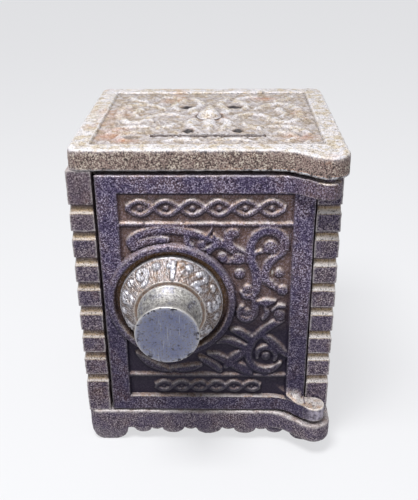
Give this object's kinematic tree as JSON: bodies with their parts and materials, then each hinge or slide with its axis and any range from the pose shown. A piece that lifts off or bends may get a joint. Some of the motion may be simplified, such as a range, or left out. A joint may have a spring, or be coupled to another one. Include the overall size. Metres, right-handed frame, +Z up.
{
  "type": "combination lock coin bank",
  "caption": "Small cast iron box safe bank with a nickel dial and knob, a scroll-cast door on corner pivots, a coin slot in the top and notched lock wheels inside.",
  "frame": {"origin": "centre of the side walls in plan, on the surface that the four feet stand on", "axes": "+X to the right seen from the front, +Y to the back, +Z up; the door and dial face -Y"},
  "size_m": [0.0641, 0.0716, 0.0843],
  "materials": {
    "japanned_iron": "worn dark japanned lacquer over sand-cast iron",
    "worn_iron": "sand-cast iron with most of its plating worn away",
    "nickel_plate": "worn nickel plate",
    "lock_steel": "bare pressed steel, dulled",
    "lock_brass": "dull brass"
  },
  "bodies": {
    "case": {"base_plate": "japanned_iron", "top_plate": "worn_iron", "left_wall": "japanned_iron", "right_wall": "japanned_iron", "back_wall": "japanned_iron", "tie_bolt": "worn_iron", "tie_washer": "lock_steel", "tie_nut": "lock_steel"},
    "door": {"door": "japanned_iron", "spring_washer": "lock_steel"},
    "dial": {"dial": "nickel_plate", "knob": "nickel_plate", "spindle": "lock_steel", "drive_wheel": "lock_steel", "drive_pin": "lock_brass", "spindle_nut": "lock_steel", "wheel_spacers": "lock_brass"},
    "tumbler_2": {"tumbler_2": "lock_steel", "tumbler_2_pin": "lock_brass"},
    "tumbler_1": {"tumbler_1": "lock_steel", "tumbler_1_pin": "lock_brass"}
  },
  "joints": [
    {"name": "door_swing", "type": "hinge", "parent": "case", "child": "door", "pos_m": [0.0278, -0.031, 0.0435], "axis": [0, 0, 1], "range_deg": [0, 190]},
    {"name": "dial_turn", "type": "hinge", "parent": "door", "child": "dial", "pos_m": [-0.0085, -0.03, 0.0432], "axis": [0, 1, 0], "continuous": true},
    {"name": "tumbler_2_turn", "type": "hinge", "parent": "door", "child": "tumbler_2", "pos_m": [-0.0085, -0.0194, 0.0432], "axis": [0, 1, 0], "continuous": true},
    {"name": "tumbler_1_turn", "type": "hinge", "parent": "door", "child": "tumbler_1", "pos_m": [-0.0085, -0.021, 0.0432], "axis": [0, 1, 0], "continuous": true}
  ],
  "couplings": [
    {"joint": "tumbler_2_turn", "follows": "dial_turn", "ratio": 1},
    {"joint": "tumbler_1_turn", "follows": "dial_turn", "ratio": 1}
  ]
}
